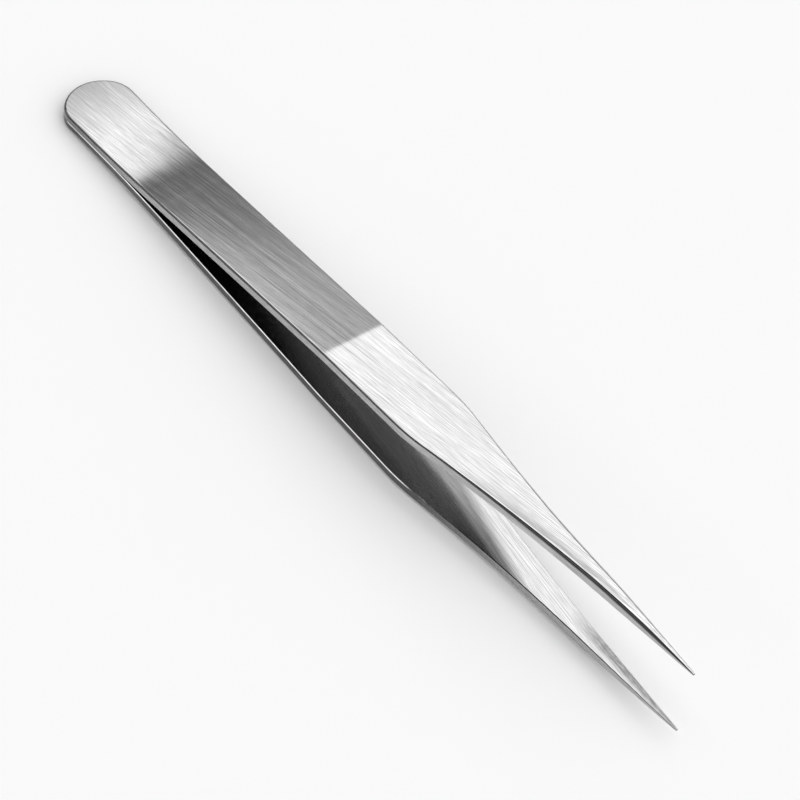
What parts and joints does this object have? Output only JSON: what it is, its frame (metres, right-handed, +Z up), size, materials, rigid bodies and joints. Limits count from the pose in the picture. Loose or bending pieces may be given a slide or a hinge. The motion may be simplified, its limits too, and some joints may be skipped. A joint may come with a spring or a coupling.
{
  "type": "tweezers",
  "caption": "Straight precision tweezers: sprung steel arms joined at a round heel, tapering from a shoulder to fine points.",
  "frame": {"origin": "centre of the bounding box, on the surface that the tweezers lie on", "axes": "+X from the heel towards the points, +Y across the arms, +Z up; the tweezers lie on the lower arm, which touches at the edge of its heel and at its second bend"},
  "size_m": [0.12, 0.0102, 0.0136],
  "materials": {
    "upper_steel": "fine lengthwise brushing, satin",
    "lower_steel": "fine lengthwise brushing, satin"
  },
  "bodies": {
    "root": {"upper_arm": "upper_steel", "lower_arm": "lower_steel"}
  },
  "joints": []
}
